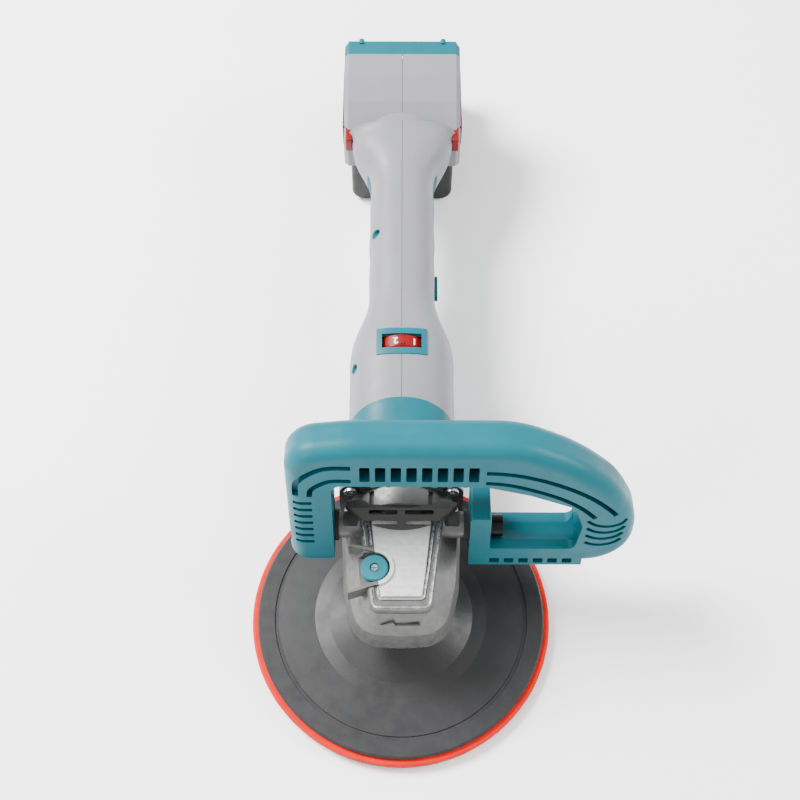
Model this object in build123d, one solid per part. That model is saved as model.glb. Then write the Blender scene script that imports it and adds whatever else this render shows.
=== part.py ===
from build123d import *
import math
import os

# Cordless right-angle polisher with a D-handle. Millimetres, +Z up.
# Origin: centre of the pad's working face, on the output spindle's axis.
# -Y is the gear head's nose, +Y the battery end, +X the side of the handle's long loop.

os.makedirs("parts", exist_ok=True)

# ---- pad and backing plate
plate_radius = 90.0
plate_rim = 3.5
pad_overhang = 3.4
pad_thickness = 8.5
hook_thickness = 1.5
dome_radius = 54.0
dome_height = 15.0
hub_radius = 15.0
hub_height = 16.0
hub_flange = 22.0

# ---- output spindle, its bearing and bush
thread_radius = 7.0
spindle_flange_radius = 12.0
spindle_flange_height = 3.0
bearing_bore = 17.0
bearing_outer = 35.0
bearing_width = 10.0
spindle_top_radius = 5.0
bush_wall = 2.5
bush_length = 6.0

# ---- bevel gears
motor_height = 62.0
pinion_teeth = 10
crown_teeth = 38
gear_module = 1.395
face_width = 7.5
pressure_angle = 20.0
profile_shift = 0.35
backlash = 0.13

# ---- gear case
case_half_width = 35.1
case_nose = 33.2
case_wall = 3.3
case_bottom = 44.0
shoulder_height = 62.0
case_top = 85.2
flange_width = 75.0
flange_height = 66.0
flange_front = 52.0
flange_back = 58.0
collar_front = 27.0

# ---- motor
stator_outer = 55.0
stator_bore = 31.2
stator_start = 63.0
stator_length = 49.0
rotor_radius = 15.0
shaft_radius = 5.0
pinion_shaft_radius = 2.5
fan_radius = 26.0
front_bearing_outer = 26.0
front_bearing_width = 8.0
rear_bearing_outer = 22.0
rear_bearing_bore = 8.0
rear_bearing_width = 7.0
front_bearing_start = 36.0
rear_bearing_start = 122.0

# ---- housing
shell_wall = 2.6
band_thickness = 1.2
barrel_half_width = 33.3
barrel_half_height = 32.0
grip_half_width = 21.7
grip_half_height = 23.5
foot_half_width = 41.0
foot_front = 322.0
foot_back = 398.0
foot_bottom = 52.0
foot_top = 97.0
half_gap = 0.3

# ---- loop handle
handle_tilt = 13.0
handle_thickness = 27.0
handle_left = -66.2
handle_right = 137.7
handle_top = 104.4
handle_bottom = -4.5
bar_bottom = 72.3
loop_turn = 29.0
rim_round = 9.0
bolt_y = 34.0
bolt_height = 77.0
bolt_radius = 4.0
spacer_radius = 9.5

# ---- battery pack
pack_half_width = 37.0
pack_front = 330.0
pack_back = 425.0
pack_top = 50.0
pack_wall = 2.0
cell_radius = 8.95
cells_per_row = 5

# ---- controls
lock_travel = 4.5
lock_angle = 167.2
lock_circle = 16.0
lock_cap_radius = 8.2
lock_pin_radius = 2.0
dial_radius = 17.0
dial_y = 152.0
dial_width = 9.0
trigger_front = 194.0
trigger_back = 250.0
trigger_width = 18.0
latch_travel = 3.0

# ---- clearances
running = 0.05
moving = 0.3
clear = 0.5

# ---- worked out
pad_top = pad_thickness
plate_top = pad_top + plate_rim
hub_low = 14.0
hub_top = hub_low + hub_height
bearing_low = hub_top + spindle_flange_height
bearing_high = bearing_low + bearing_width
seat_radius = bearing_bore / 2
crown_angle = math.degrees(math.atan(crown_teeth / pinion_teeth))
pinion_angle = 90.0 - crown_angle
crown_radius = gear_module * crown_teeth / 2
pinion_radius = gear_module * pinion_teeth / 2
cone_distance = math.hypot(crown_radius, pinion_radius)
inner_scale = (cone_distance - face_width) / cone_distance
web_low = 48.0
web_high = 52.5
clip_low = 55.5
cavity_top = 72.5
spindle_top = 79.5
lock_x = lock_circle * math.cos(math.radians(lock_angle))
lock_y = lock_circle * math.sin(math.radians(lock_angle))
lock_floor = cavity_top + 3.0
cap_low = lock_floor + lock_travel + clear
motor_seat = stator_outer / 2
pad_radius = plate_radius + pad_overhang

made = {}


def keep(name, shape):
    """Write one sub-part and remember it."""
    made[name] = shape
    export_step(shape, "parts/" + name + ".step")


def tube(outer, inner, low, high, x=0.0, y=0.0):
    """Ring about a vertical axis."""
    body = Cylinder(outer, high - low)
    if inner > 0:
        body = body - Cylinder(inner, high - low)
    return Pos(x, y, (low + high) / 2) * body


def slab(x0, x1, y0, y1, z0, z1):
    """Box given by its limits."""
    return Pos((x0 + x1) / 2, (y0 + y1) / 2, (z0 + z1) / 2) * Box(x1 - x0, y1 - y0, z1 - z0)


def turned(points):
    """Solid turned about Z from (radius, height) points."""
    return revolve(Plane.XZ * make_face(Polyline(*points, close=True)), Axis.Z)


def on_motor(shape):
    """Lay a piece that was drawn about Z along the motor axis, Z becoming +Y."""
    return Pos(0, 0, motor_height) * Rot(-90, 0, 0) * shape


def cross(radius, x0, x1, y, z):
    """Cylinder along X."""
    return Pos((x0 + x1) / 2, y, z) * Rot(0, 90, 0) * Cylinder(radius, x1 - x0)


def along(radius, y0, y1, x, z):
    """Cylinder along Y."""
    return Pos(x, (y0 + y1) / 2, z) * Rot(90, 0, 0) * Cylinder(radius, y1 - y0)


def group(solids):
    """Several separate solids in one node."""
    return Compound(children=[s for part in solids for s in part.solids()])


def coil(radius, wire, low, high, turns, x=0.0, y=0.0):
    """Spring drawn as a stack of closed rings joined by a thin post on one side."""
    pitch = (high - low - 2 * wire) / turns
    rings = []
    for k in range(turns + 1):
        rings.append(Pos(x, y, low + wire + k * pitch) * Torus(radius, wire))
    post = Pos(x + radius, y, (low + high) / 2) * Cylinder(wire * 0.8, high - low - 2 * wire)
    body = post
    for ring in rings:
        body = body + ring
    return body


# ---------------------------------------------------------------- bearings
def ball_bearing(bore, outer, width):
    """Outer ring, and inner ring with its balls, about Z from z = 0."""
    inner_radius = bore / 2
    outer_radius = outer / 2
    step = (outer_radius - inner_radius) / 3
    pitch = (outer_radius + inner_radius) / 2
    ball = step * 0.78
    mid = width / 2
    groove = Pos(0, 0, mid) * Torus(pitch, ball + moving)
    outer_ring = tube(outer_radius, outer_radius - step + 0.15, 0, width) - groove
    inner_groove = Pos(0, 0, mid) * Torus(pitch, ball + 0.02)
    inner_ring = tube(inner_radius + step - 0.15, inner_radius, 0, width) - inner_groove
    count = int(2 * math.pi * pitch / (2.5 * ball))
    balls = [Rot(0, 0, 360 / count * k) * Pos(pitch, 0, mid) * Sphere(ball) for k in range(count)]
    return outer_ring, group([inner_ring] + balls)


# ---------------------------------------------------------------- pad and plate
def hook_face():
    return turned([(0, 0), (pad_radius - 1.0, 0), (pad_radius - 0.4, 0.5), (pad_radius - 0.4, hook_thickness), (0, hook_thickness)])


def foam_layer():
    low = hook_thickness
    edge = pad_radius
    return turned([(0, low), (edge - 0.4, low), (edge, low + 1.2), (edge - 0.8, pad_top - 2.0), (edge - 2.2, pad_top), (0, pad_top)])


def plate_profile():
    rise = plate_top + 1.0
    dome_top = pad_top + dome_height + 3.5
    return [
        (0, pad_top), (plate_radius - 0.8, pad_top), (plate_radius, pad_top + 0.8), (plate_radius, plate_top - 1.0),
        (plate_radius - 1.0, plate_top), (79.4, plate_top), (79.2, plate_top - 0.8), (77.2, plate_top - 0.8),
        (77.0, plate_top), (dome_radius, rise), (dome_radius - 9, rise + 1.5), (dome_radius - 20, rise + 6.5),
        (hub_radius + 8, dome_top - 2.0), (hub_radius + 5, dome_top), (0, dome_top),
    ]


def backing_plate():
    body = turned(plate_profile())
    body = body - tube(hub_flange, 0, hub_low - 2.0, hub_low + 1.0)
    return body - tube(hub_radius, 0, hub_low, hub_top + 20)


def plate_hub():
    flange = tube(hub_flange, thread_radius, hub_low - 2.0, hub_low + 1.0)
    barrel = tube(hub_radius, thread_radius, hub_low, hub_top)
    floor = tube(thread_radius, 0, hub_low - 2.0, hub_low - 1.0)
    notch = slab(-hub_radius - 1, hub_radius + 1, -2.5, 2.5, hub_top - 2.0, hub_top + 1) - tube(thread_radius + 3, 0, hub_top - 3, hub_top + 2)
    return flange + barrel + floor - notch


# ---------------------------------------------------------------- spindle
def spindle():
    body = turned([
        (0, hub_low), (thread_radius - 1, hub_low), (thread_radius, hub_low + 1), (thread_radius, hub_top),
        (spindle_flange_radius, hub_top), (spindle_flange_radius, bearing_low), (seat_radius, bearing_low),
        (seat_radius, clip_low), (seat_radius - 0.8, clip_low), (seat_radius - 0.8, clip_low + 1.2),
        (seat_radius, clip_low + 1.2), (seat_radius, clip_low + 2.5), (spindle_top_radius, clip_low + 3.5),
        (spindle_top_radius, spindle_top - 0.5), (spindle_top_radius - 0.5, spindle_top), (0, spindle_top),
    ])
    flats = slab(-20, 20, spindle_flange_radius - 1.5, 20, hub_top - 1, bearing_low)
    return body - flats - Rot(0, 0, 180) * flats


def gear_clip():
    ring = tube(seat_radius + 2.5, seat_radius - 0.8, clip_low, clip_low + 1.2)
    return ring - slab(0, 20, -2.0, 2.0, clip_low - 1, clip_low + 3)


# ---------------------------------------------------------------- bevel gears
def frustum_tooth(outline, pitch_r, pitch_angle):
    """One bevel tooth, straight towards the apex at the origin, cone opening along +Z."""
    tilt = math.radians(pitch_angle)
    height = pitch_r / math.tan(tilt)
    faces = []
    for scale in (1.0, inner_scale):
        points = []
        for across, up in outline:
            r = (pitch_r + up * math.cos(tilt)) * scale
            z = (height - up * math.sin(tilt)) * scale
            points.append(Vector(r, across * scale, z))
        faces.append(Polyline(*points, close=True))
    walls = [make_face(faces[0]).face(), make_face(faces[1]).face()]
    first = faces[0].vertices()
    count = len(outline)
    outer_points = [Vector(*p) for p in outline_points(outline, pitch_r, tilt, height, 1.0)]
    inner_points = [Vector(*p) for p in outline_points(outline, pitch_r, tilt, height, inner_scale)]
    for k in range(count):
        n = (k + 1) % count
        walls.append(Face(Wire.make_polygon([outer_points[k], outer_points[n], inner_points[n], inner_points[k]], close=True)))
    return Solid(Shell(walls))


def outline_points(outline, pitch_r, tilt, height, scale):
    points = []
    for across, up in outline:
        r = (pitch_r + up * math.cos(tilt)) * scale
        points.append((r, across * scale, (height - up * math.sin(tilt)) * scale))
    return points


def tooth_outline(pitch_r, pitch_angle, shift, thickness, addendum, dedendum):
    """Involute flanks of the equivalent spur gear, as (across, up) from the pitch point."""
    virtual = pitch_r / math.cos(math.radians(pitch_angle))
    base = virtual * math.cos(math.radians(pressure_angle))
    involute_at_pitch = math.tan(math.radians(pressure_angle)) - math.radians(pressure_angle)
    half_angle = thickness / (2 * virtual)
    right = []
    start = max(base, virtual - dedendum * 0.75)
    for step in range(5):
        r = start + (virtual + addendum - start) * step / 4
        roll = math.acos(min(1.0, base / r))
        angle = half_angle + involute_at_pitch - (math.tan(roll) - roll)
        right.append((r * math.sin(angle), r * math.cos(angle) - virtual))
    foot_half = right[0][0] * (virtual - dedendum) / start
    right.insert(0, (foot_half, -dedendum - 0.6))
    left = [(-a, u) for a, u in reversed(right)]
    return right + left


def crown_gear():
    addendum = (1 - profile_shift) * gear_module
    dedendum = (1.25 + profile_shift) * gear_module
    half = math.radians(pressure_angle)
    thickness = (math.pi / 2 - 2 * profile_shift * math.tan(half)) * gear_module - backlash
    outline = tooth_outline(crown_radius, crown_angle, -profile_shift, thickness, addendum, dedendum)
    tooth = Pos(0, 0, motor_height) * Rot(180, 0, 0) * frustum_tooth(outline, crown_radius, crown_angle)
    tilt = math.radians(crown_angle)
    root_r = crown_radius - dedendum * math.cos(tilt)
    root_z = motor_height - crown_radius / math.tan(tilt) - dedendum * math.sin(tilt)
    shelf = 0.3 / cone_distance
    inner_r = root_r * (inner_scale - shelf)
    inner_z = motor_height + (root_z - motor_height) * (inner_scale - shelf)
    root_z = motor_height + (root_z - motor_height) * (1 + shelf)
    root_r = root_r * (1 + shelf)
    blank = turned([
        (seat_radius, bearing_high), (seat_radius + 3, bearing_high), (seat_radius + 3, web_low),
        (crown_radius - 2, web_low), (crown_radius - 0.3, web_low + 1.7), (root_r, root_z), (inner_r, inner_z),
        (inner_r - 0.3, web_high), (seat_radius + 3.9, web_high), (seat_radius + 3.9, clip_low), (seat_radius, clip_low),
    ])
    holes = [Rot(0, 0, lock_angle + 90 * k) * tube(lock_pin_radius + moving, 0, web_low - 1, web_high + 1, lock_circle) for k in range(4)]
    teeth = [Rot(0, 0, 360 / crown_teeth * (k + 0.5)) * Rot(0, 0, 90) * tooth for k in range(crown_teeth)]
    body = blank.fuse(*teeth)
    for hole in holes:
        body = body - hole
    return body


def pinion():
    addendum = (1 + profile_shift) * gear_module * 0.95
    dedendum = (1.25 - profile_shift) * gear_module
    half = math.radians(pressure_angle)
    thickness = (math.pi / 2 + 2 * profile_shift * math.tan(half)) * gear_module - backlash
    outline = tooth_outline(pinion_radius, pinion_angle, profile_shift, thickness, addendum, dedendum)
    tooth = frustum_tooth(outline, pinion_radius, pinion_angle)
    tilt = math.radians(pinion_angle)
    root_r = pinion_radius - dedendum * math.cos(tilt)
    root_y = pinion_radius / math.tan(tilt) + dedendum * math.sin(tilt)
    body = turned([
        (pinion_shaft_radius, root_y * inner_scale), (root_r * inner_scale, root_y * inner_scale), (root_r, root_y),
        (root_r + 0.8, root_y + 1.2), (root_r + 0.8, front_bearing_start - 0.4), (pinion_shaft_radius, front_bearing_start - 0.4),
    ])
    teeth = [Rot(0, 0, 360 / pinion_teeth * k + 90) * tooth for k in range(pinion_teeth)]
    return on_motor(body.fuse(*teeth))


def pinion_nut():
    radius = 3.9
    end = crown_radius * inner_scale + 0.1
    nut = Pos(0, 0, end - 3.4) * extrude(RegularPolygon(radius, 6), 3.2)
    return on_motor(nut - Pos(0, 0, end - 2) * Cylinder(pinion_shaft_radius, 8))


# ---------------------------------------------------------------- gear case
def nose_outline(half_rear, rear, half_mid, half_front, front, corner, height):
    """Plan outline of the gear head: straight sides that taper to a rounded nose."""
    path = FilletPolyline(
        (-half_rear, rear), (-half_mid, 2.0), (-half_front, front + 1.6), (0, front),
        (half_front, front + 1.6), (half_mid, 2.0), (half_rear, rear), radius=[40.0, corner, 60.0, corner, 40.0],
    )
    return Pos(0, 0, height) * make_face(path + Line((half_rear, rear), (-half_rear, rear)))


def head_body(grow):
    """Gear head as three stacked lofts; grow is negative for the hollow."""
    rear = flange_front + 1.0
    wide = case_half_width + grow
    nose = case_nose + grow
    low = nose_outline(wide + 1.2, rear, wide - 0.8, wide - 8.3, -nose + 0.8, 19.0 + grow, case_bottom)
    belt = nose_outline(wide + 2.2, rear, wide, wide - 7.5, -nose, 20.0 + grow, case_bottom + 3)
    shoulder = nose_outline(wide - 0.4, rear, wide - 2.6, wide - 9.4, -nose + 2.6, 17.0 + grow, shoulder_height)
    top = nose_outline(wide - 9.6, rear, wide - 14.0, wide - 17.6, -nose + 9.8, 7.0 + max(grow, -3), case_top - 3.2)
    body = loft([low, belt], ruled=True) + loft([belt, shoulder], ruled=True) + loft([shoulder, top], ruled=True)
    return body


def swoosh_rim():
    """Raised wall that curls round the lock button and runs out towards -X."""
    outer = lock_cap_radius + 3.2
    inner = lock_cap_radius + 1.0
    low = lock_floor - 1
    high = case_top + 1.2
    ring = tube(outer, inner, low, high, lock_x, lock_y) - slab(-60, lock_x, -40, 60, low - 1, high + 1)
    arms = []
    for side in (1, -1):
        path = [(lock_x, lock_y + side * inner), (lock_x, lock_y + side * outer), (-31.0, lock_y + side * outer * 1.35 - 1.0), (-31.5, lock_y + side * outer * 1.25 - 1.0)]
        arm = extrude(make_face(Polyline(*path, close=True)), high - low)
        arms.append(Pos(0, 0, low) * arm)
    return ring + arms[0] + arms[1]


def top_panel():
    """Platform on top of the head with a raised bead, a groove and a plain field."""
    outer = make_face(FilletPolyline((-25.6, 36), (-21.0, 2), (-18.2, -23.2), (0, -23.8), (18.2, -23.2), (21.0, 2), (25.6, 36), radius=[30, 6, 60, 6, 30]) + Line((25.6, 36), (-25.6, 36)))
    body = Pos(0, 0, case_top - 4) * extrude(outer, 4.0)
    body = chamfer(body.edges().group_by(Axis.Z)[-1], 0.8)
    groove = make_face(FilletPolyline((-21.9, 38), (-17.2, 2), (-14.6, -18.6), (14.6, -18.6), (17.2, 2), (21.9, 38), radius=[30, 4, 4, 30]) + Line((21.9, 38), (-21.9, 38)))
    field = make_face(FilletPolyline((-18.6, 38), (-14.5, 2), (-11.9, -14.0), (11.9, -14.0), (14.5, 2), (18.6, 38), radius=[30, 2, 2, 30]) + Line((18.6, 38), (-18.6, 38)))
    body = body - Pos(0, 0, case_top - 0.9) * extrude(groove, 3)
    return body + Pos(0, 0, case_top - 1.2) * extrude(field, 0.9)


def arrow():
    """Half arrow that shows the way the pad turns."""
    outline = make_face(Polyline((-12.6, -2.3), (-4.6, 2.6), (-3.2, -0.2), (11, 0.2), (11, -2.9), (0, -3.1), close=True))
    return outline


def gear_case():
    head = head_body(0.0) + top_panel()
    drum = along(33.0, 40.0, flange_back, 0, motor_height)
    flange_face = Plane.XZ * Pos(0, motor_height) * RectangleRounded(flange_width, flange_height, 12)
    flange = Pos(0, flange_back, 0) * extrude(flange_face, flange_back - flange_front)
    body = head + drum + flange
    for side in (1, -1):
        body = body + cross(spacer_radius - 1.5, min(side * 20, side * 37.2), max(side * 20, side * 37.2), bolt_y, bolt_height)
    hollow = head_body(-case_wall) & slab(-60, 60, -60, flange_back, 0, cavity_top)
    pocket = tube(lock_cap_radius + 1.0, 0, lock_floor, 120, lock_x, lock_y)
    channel = slab(-60, lock_x, lock_y - lock_cap_radius - 1.0, lock_y + lock_cap_radius + 1.0, lock_floor, 120)
    body = body + (swoosh_rim() & slab(-31, 40, -60, 60, 60, 120))
    body = body - pocket - channel
    hollow = hollow & slab(-60, 60, -60, 34.0, 0, 200)
    body = body - hollow
    boss = tube(6.0, 0, lock_floor - 15.5, lock_floor, lock_x, lock_y)
    body = body + boss
    body = body - tube(lock_pin_radius + running, 0, 50, 120, lock_x, lock_y)
    bush_outer = spindle_top_radius + bush_wall
    body = body - tube(bush_outer, 0, 60, 80.0)
    body = body - along(25.2, 33.0, 46.0, 0, motor_height)
    body = body - along(29.2, 45.0, flange_back + 1, 0, motor_height)
    body = body - slab(-19, 19, 36, 50, case_top + 1.6, case_top + 5.6)
    mouth = tube(27.2, 0, 30, case_bottom + 3)
    body = body - mouth
    for side in (1, -1):
        body = body - cross(bolt_radius, min(side * 23, side * 45), max(side * 23, side * 45), bolt_y, bolt_height)
        for high in (1, -1):
            body = body - along(2.1, 40, 70, side * 30.2, motor_height + high * 25)
            body = body - along(5.0, 30, flange_front + 1.5, side * 30.2, motor_height + high * 25)
    sign = Plane(origin=(0, -27.2, 72.8), x_dir=(1, 0, 0), z_dir=(0, -0.954, 0.3)) * arrow()
    return body + extrude(sign, 0.7, both=True)


def air_baffle():
    """Dark collar over the back of the gear head, with four outlet slots."""
    low = case_top + 0.05
    wedge = Plane.YZ * make_face(Polyline((collar_front, low), (collar_front, low + 0.8), (38.0, 92.4), (44.0, 93.0), (44.0, low), close=True))
    body = extrude(wedge, 33.0, both=True)
    plan = make_face(ThreePointArc((-34, 41), (0, collar_front), (34, 41)) + Polyline((34, 41), (24, 44), (18.5, 40.2), (-18.5, 40.2), (-24, 44), (-34, 41)))
    body = body & extrude(Pos(0, 0, low - 2) * plan, 20)
    hollow = Plane.YZ * make_face(Polyline((collar_front + 4, low - 1), (37.4, 90.4), (48.0, 91.0), (48.0, low - 1), close=True))
    body = body - (extrude(hollow, 20.0, both=True))
    for row_y, row_z in ((30.2, 88.2), (35.6, 91.6)):
        for side in (1, -1):
            slot = Plane(origin=(side * 10.7, row_y, row_z), x_dir=(1, 0, 0), z_dir=(0, -0.55, 0.835)) * SlotOverall(17.2, 2.6)
            body = body - extrude(slot, 4.0, both=True)
    return body


def bearing_retainer():
    """Round plate that closes the head from below and carries the spindle bearing."""
    low = hub_top + 1.0
    plate = tube(27.0, bearing_outer / 2, case_bottom - 2.4, case_bottom + 2.2)
    neck = tube(bearing_outer / 2 + 3.5, bearing_outer / 2, low + 1.0, case_bottom - 2.4)
    lip = tube(bearing_outer / 2 + 3.5, spindle_flange_radius + 2.2, low, low + 1.0)
    flange = tube(31.0, bearing_outer / 2, case_bottom - 2.4, case_bottom - 0.05)
    body = neck + plate + lip + flange
    for k in range(4):
        body = body - Rot(0, 0, 45 + 90 * k) * tube(2.0, 0, 20, 60, 28.8)
    return body


def screw(length, shank, head, head_height):
    """Socket screw, head up from z = 0, shank down."""
    body = tube(head, 0, 0, head_height) + tube(shank, 0, -length, 0)
    socket = Pos(0, 0, head_height - 1.4) * extrude(RegularPolygon(head * 0.55, 6), 3)
    return body - socket


def retainer_screws():
    screws = []
    for k in range(4):
        screws.append(Rot(0, 0, 45 + 90 * k) * Pos(28.8, 0, case_bottom - 2.4) * Rot(180, 0, 0) * screw(7.0, 2.0, 3.4, 2.4))
    return group(screws)


def head_screws():
    screws = []
    for side in (1, -1):
        for high in (1, -1):
            place = Pos(side * 30.2, flange_front + 1.5, motor_height + high * 25) * Rot(90, 0, 0)
            screws.append(place * screw(14.0, 2.1, 4.3, 3.6))
    return group(screws)


def upper_bush():
    return tube(spindle_top_radius + bush_wall, spindle_top_radius + running, 80.0 - bush_length, 80.0)


def spindle_seal():
    low = hub_top + 2.0
    return tube(bearing_outer / 2, spindle_flange_radius + 0.4, low, bearing_low)


# ---------------------------------------------------------------- spindle lock
def lock_button():
    body = tube(lock_cap_radius, 0, cap_low, cap_low + 4.6, lock_x, lock_y)
    body = chamfer(body.edges().group_by(Axis.Z)[-1], 0.7)
    body = body - tube(2.9, 0, cap_low + 3.4, cap_low + 6, lock_x, lock_y)
    body = body - tube(5.4, 0, cap_low - 1, cap_low + 1.6, lock_x, lock_y)
    return body - tube(lock_pin_radius, 0, cap_low - 1, cap_low + 6, lock_x, lock_y)


def lock_pin():
    body = tube(lock_pin_radius, 0, web_high + 1.0, cap_low + 4.0, lock_x, lock_y)
    slot = slab(lock_x - 3, lock_x + 3, lock_y - 0.35, lock_y + 0.35, cap_low + 3.3, cap_low + 6)
    return body - slot


# ---------------------------------------------------------------- motor
def bearing_plate():
    """Bulkhead between the gears and the motor, with the pinion bearing's seat."""
    seat = front_bearing_outer / 2
    body = turned([
        (9.0, 34.0), (25.0, 34.0), (25.0, 45.2), (29.0, 45.2), (29.0, 48.0), (seat - 2.0, 48.0), (seat - 2.0, 46.5),
        (seat, 45.5), (seat, front_bearing_start), (9.0, front_bearing_start),
    ])
    for k in range(3):
        arc = Rot(0, 0, 30 + 120 * k) * (tube(23.5, 17.5, 30, 50) & slab(0, 40, -14, 14, 20, 60))
        body = body - arc
    return on_motor(body)


def plate_screws():
    screws = [Rot(0, 0, 90 + 120 * k) * Pos(27.0, 0, 48.0) * tube(1.9, 0, 0, 1.8) for k in range(3)]
    return on_motor(group(screws))


def motor_shaft():
    nut_end = crown_radius * inner_scale - 4.5
    return on_motor(turned([
        (0, nut_end), (pinion_shaft_radius, nut_end + 0.4), (pinion_shaft_radius, front_bearing_start),
        (shaft_radius, front_bearing_start), (shaft_radius, rear_bearing_start), (rear_bearing_bore / 2, rear_bearing_start),
        (rear_bearing_bore / 2, rear_bearing_start + 8), (0, rear_bearing_start + 8),
    ]))


def rotor_core():
    body = tube(rotor_radius, shaft_radius, stator_start, stator_start + stator_length)
    return on_motor(body)


def rotor_magnets():
    low = stator_start + 1
    high = stator_start + stator_length - 1
    magnets = []
    for k in range(4):
        shell = tube(rotor_radius - 1.6, rotor_radius - 4.0, low, high) & slab(0, 40, -6.5, 6.5, 0, 200)
        magnets.append(Rot(0, 0, 90 * k) * shell)
    return group(magnets)


def cooling_fan():
    low = 51.0
    disc = tube(fan_radius, shaft_radius, low + 5.6, low + 7.2)
    hub = tube(9.0, shaft_radius, low, low + 5.6)
    blades = []
    for k in range(13):
        blade = Pos(17.0, 0, low + 3.3) * Rot(0, 0, 28) * Box(15.5, 1.3, 5.4)
        blades.append(Rot(0, 0, 360 / 13 * k) * blade)
    return on_motor((disc + hub).fuse(*blades))


def stator_core():
    low = stator_start
    high = stator_start + stator_length
    body = tube(stator_outer / 2, stator_outer / 2 - 5.0, low, high)
    teeth = []
    for k in range(6):
        arm = slab(stator_bore / 2 + 0.4, stator_outer / 2 - 2, -2.6, 2.6, low, high)
        shoe = tube(stator_bore / 2 + 2.2, stator_bore / 2, low, high) & slab(0, 40, -6.2, 6.2, low, high)
        teeth.append(Rot(0, 0, 60 * k) * (arm + shoe))
    return on_motor(body.fuse(*teeth))


def stator_windings():
    low = stator_start - 2.2
    high = stator_start + stator_length + 2.2
    coils = []
    for k in range(6):
        block = slab(stator_bore / 2 + 2.8, stator_outer / 2 - 5.6, -5.0, 5.0, low, high)
        hole = slab(0, 40, -2.7, 2.7, stator_start - 0.1, stator_start + stator_length + 0.1)
        coils.append(Rot(0, 0, 60 * k) * (block - hole))
    return on_motor(group(coils))


def rear_bracket():
    seat = rear_bearing_outer / 2
    start = rear_bearing_start
    body = turned([
        (seat - 3.0, start - 2.5), (motor_seat + 1.0, start - 2.5), (motor_seat + 1.0, start + 1.0), (seat + 3.5, start + 1.0),
        (seat + 3.5, start + rear_bearing_width + 0.4), (seat, start + rear_bearing_width + 0.4), (seat, start), (seat - 3.0, start),
    ])
    for k in range(6):
        body = body - Rot(0, 0, 60 * k) * tube(3.0, 0, start - 5, start + 5, 21.5)
    return on_motor(body)


# ---------------------------------------------------------------- housing
def section(y, half_width, middle, half_height, squareness=2.6):
    """Rounded section across the tool at one place along its length."""
    points = []
    count = 16
    for k in range(count):
        turn = 2 * math.pi * k / count
        c = math.cos(turn)
        s = math.sin(turn)
        x = half_width * math.copysign(abs(c) ** (2 / squareness), c)
        z = middle + half_height * math.copysign(abs(s) ** (2 / squareness), s)
        points.append((x, y, z))
    return make_face(Spline(*points, periodic=True))


def ease(low, high, y, start, end):
    """Smooth step from one size to another along the tool."""
    t = min(1.0, max(0.0, (y - start) / (end - start)))
    return low + (high - low) * t * t * (3 - 2 * t)


def barrel_and_grip(inset):
    """Motor barrel and grip as one smooth loft; inset makes the inner skin."""
    faces = []
    count = 20
    for k in range(count + 1):
        y = flange_back + (foot_front + 6.0 - flange_back) * k / count
        wide = ease(barrel_half_width, grip_half_width, y, 152, 194)
        wide = ease(wide, foot_half_width - 3.0, y, 284, 330)
        tall = ease(barrel_half_height, grip_half_height, y, 150, 198)
        tall = ease(tall, 20.5, y, 296, 330)
        middle = ease(motor_height, 67.5, y, 150, 198)
        middle = ease(middle, 74.5, y, 290, 330)
        faces.append(section(y, wide - inset, middle, tall - inset))
    return loft(faces)


def foot_block(inset):
    """Squared-off rear foot that the battery slides under."""
    wide = foot_half_width - inset
    front = foot_front + inset
    back = foot_back - inset
    low = foot_bottom + inset
    high = foot_top - inset
    side = Plane.YZ * make_face(Polyline((front, low), (front, low + 24 - inset), (front + 26, high - 6), (front + 44, high), (back, high), (back, low), close=True))
    body = extrude(side, wide, both=True)
    edges = [e for e in body.edges() if abs(abs(e.center().X) - wide) < 0.01 and e.center().Z > low + 2]
    return chamfer(edges, 3.0)


def band_region(front, back, sag):
    """Plan area ahead of the curved edge of the front band, as a tall solid."""
    path = ThreePointArc((-40, back - sag * 1.78), (0, back), (40, back - sag * 1.78))
    plan = make_face(path + Polyline((40, back - sag * 1.78), (40, front), (-40, front), (-40, back - sag * 1.78)))
    return Pos(0, 0, 0) * extrude(plan, 150)


def side_region():
    """Side view of the soft grip: low along the barrel, high along the grip."""
    path = FilletPolyline(
        (80, 20), (80, 59), (168, 60), (190, 73), (296, 76), (304, 66), (304, 40), (255, 20), radius=[4, 20, 20, 6, 5, 8],
    )
    outline = Plane.YZ * make_face(path + Line((255, 20), (80, 20)))
    return extrude(outline, 60, both=True)


def bores():
    """Recesses for the housing screws, open towards -X."""
    cuts = []
    for y, z, x in screw_places:
        cuts.append(cross(3.4, -60, x, y, z))
    return cuts


screw_places = [(139.0, 80.0, -22.0), (240.0, 84.0, -11.0), (139.0, 44.0, -22.0), (282.0, 53.0, -10.0), (392.0, 90.0, -30.0)]


def front_ring():
    """Square flange that the gear case is screwed to."""
    flare = Plane.XZ * Pos(0, motor_height) * RectangleRounded(flange_width - 0.6, flange_height - 0.6, 12)
    ring = Pos(0, flange_back + 5.0, 0) * extrude(flare, 5.0)
    ring = ring - barrel_and_grip(shell_wall / 2)
    for side in (1, -1):
        for high in (1, -1):
            ring = ring - along(2.1, 40, 70, side * 30.2, motor_height + high * 25)
    return ring


def inner_ribs():
    """Rings that hold the stator and the rear bearing's bracket."""
    inside = barrel_and_grip(shell_wall - 0.5)
    seat_start = rear_bearing_start - 2.5
    rings = []
    for low, high in ((72.0, 75.0), (100.0, 103.0)):
        rings.append((inside & slab(-60, 60, low, high, 0, 130)) - along(motor_seat, low - 1, high + 1, 0, motor_height))
    seat = (inside & slab(-60, 60, seat_start - 1.5, seat_start + 5.0, 0, 130)) - along(motor_seat - 1.0, 90, 140, 0, motor_height)
    rings.append(seat - along(motor_seat + 1.0, seat_start, seat_start + 3.5, 0, motor_height))
    return rings


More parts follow.
